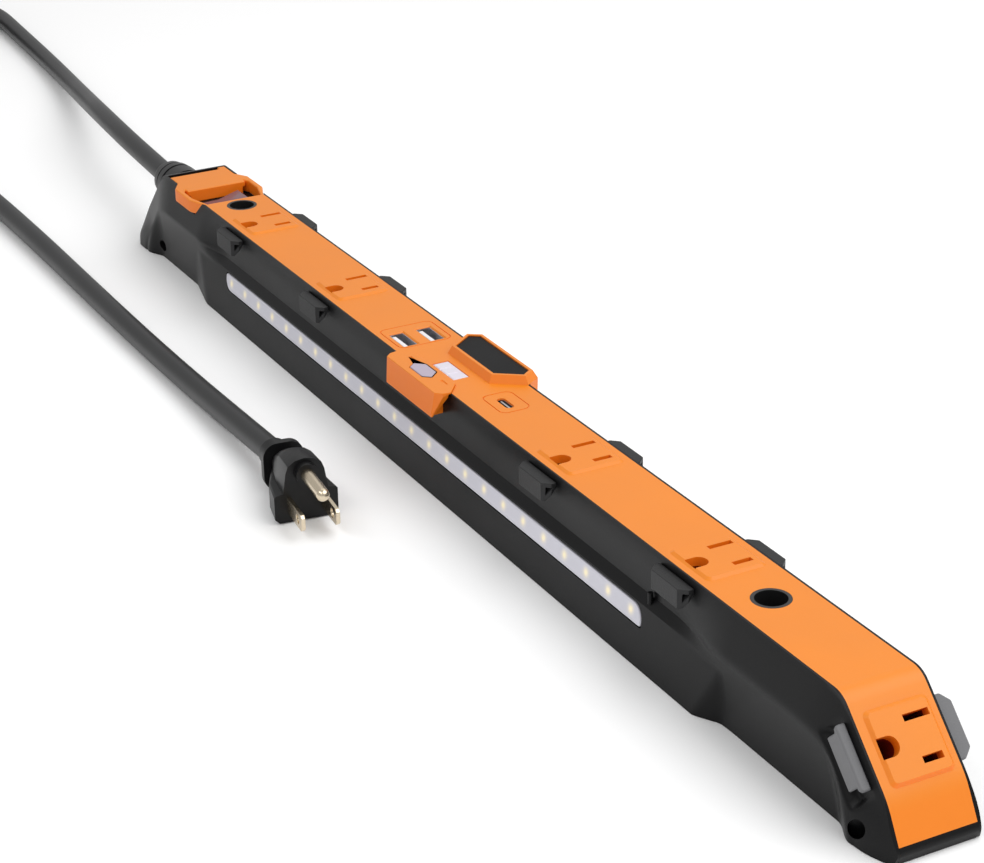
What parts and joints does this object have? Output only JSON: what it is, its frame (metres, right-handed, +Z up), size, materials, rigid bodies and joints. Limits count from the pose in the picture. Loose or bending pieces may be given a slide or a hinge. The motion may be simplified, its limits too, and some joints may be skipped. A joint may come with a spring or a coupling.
{
  "type": "power strip",
  "caption": "Long bench power strip with grounded outlets, USB ports, light bar, guarded rocker switch, cord cleats and a mains cord.",
  "frame": {"origin": "middle of the strip's footprint, on the surface it stands on", "axes": "+X along the strip from the cord end to the angled outlet, +Y from the light bar side to the back, +Z up"},
  "size_m": [1.0282, 0.1275, 0.043],
  "materials": {
    "black_plastic": "satin, fine texture",
    "orange_plastic": "satin",
    "tinted_plastic": "translucent, polished",
    "thermoset": "satin",
    "brass": "as rolled",
    "wire_insulation": "satin",
    "circuit_board": "solder resist",
    "component_black": "matt",
    "port_metal": "nickel plated",
    "white_plastic": "satin",
    "lens_plastic": "frosted",
    "circuit_white": "solder resist",
    "led_phosphor": "domed",
    "button_plastic": "satin",
    "window_plastic": "frosted",
    "badge_black": "satin",
    "rubber": "matt",
    "cleat_plastic": "fine texture",
    "steel": "zinc plated",
    "cord_rubber": "satin",
    "plug_metal": "nickel plated"
  },
  "bodies": {
    "strip": {"body_shell": "black_plastic", "base_cover": "black_plastic", "face_panel": "orange_plastic", "switch_guard": "orange_plastic", "rocker_body": "black_plastic", "receptacle_1": "thermoset", "receptacle_2": "thermoset", "receptacle_3": "thermoset", "receptacle_4": "thermoset", "receptacle_5": "thermoset", "line_bus": "brass", "neutral_bus": "brass", "ground_bus": "brass", "end_contacts": "brass", "inner_leads": "wire_insulation", "usb_board": "circuit_board", "usb_converter_parts": "component_black", "usb_a_shells": "port_metal", "usb_a_tongues": "white_plastic", "usb_c_port": "port_metal", "led_lens": "lens_plastic", "led_circuit_strip": "circuit_white", "leds": "led_phosphor", "light_switch_housing": "orange_plastic", "indicator_window": "window_plastic", "badge_frame": "orange_plastic", "badge_plate": "badge_black", "screw_posts": "black_plastic", "rubber_feet": "rubber", "cord_cleats_front": "cleat_plastic", "cord_cleats_back": "cleat_plastic", "cord_cleats_end": "cleat_plastic", "case_screws": "steel", "strain_relief": "cord_rubber", "cord_strip_side": "cord_rubber", "cord_coil": "cord_rubber", "cord_plug_side": "cord_rubber", "plug_body": "cord_rubber", "plug_blades": "plug_metal", "plug_ground_pin": "plug_metal"},
    "rocker": {"power_rocker": "tinted_plastic"},
    "button": {"light_button": "button_plastic"}
  },
  "joints": [
    {"name": "power_rocker_tilt", "type": "hinge", "parent": "strip", "child": "rocker", "pos_m": [-0.2213, 0, 0.031], "axis": [1, 0, 0], "range_deg": [-18, 0]},
    {"name": "light_button_press", "type": "slide", "parent": "strip", "child": "button", "axis": [0, 0, -1], "range_m": [0, 0.0008], "stiffness_N_per_m": 400, "springref_m": -0.0006}
  ]
}
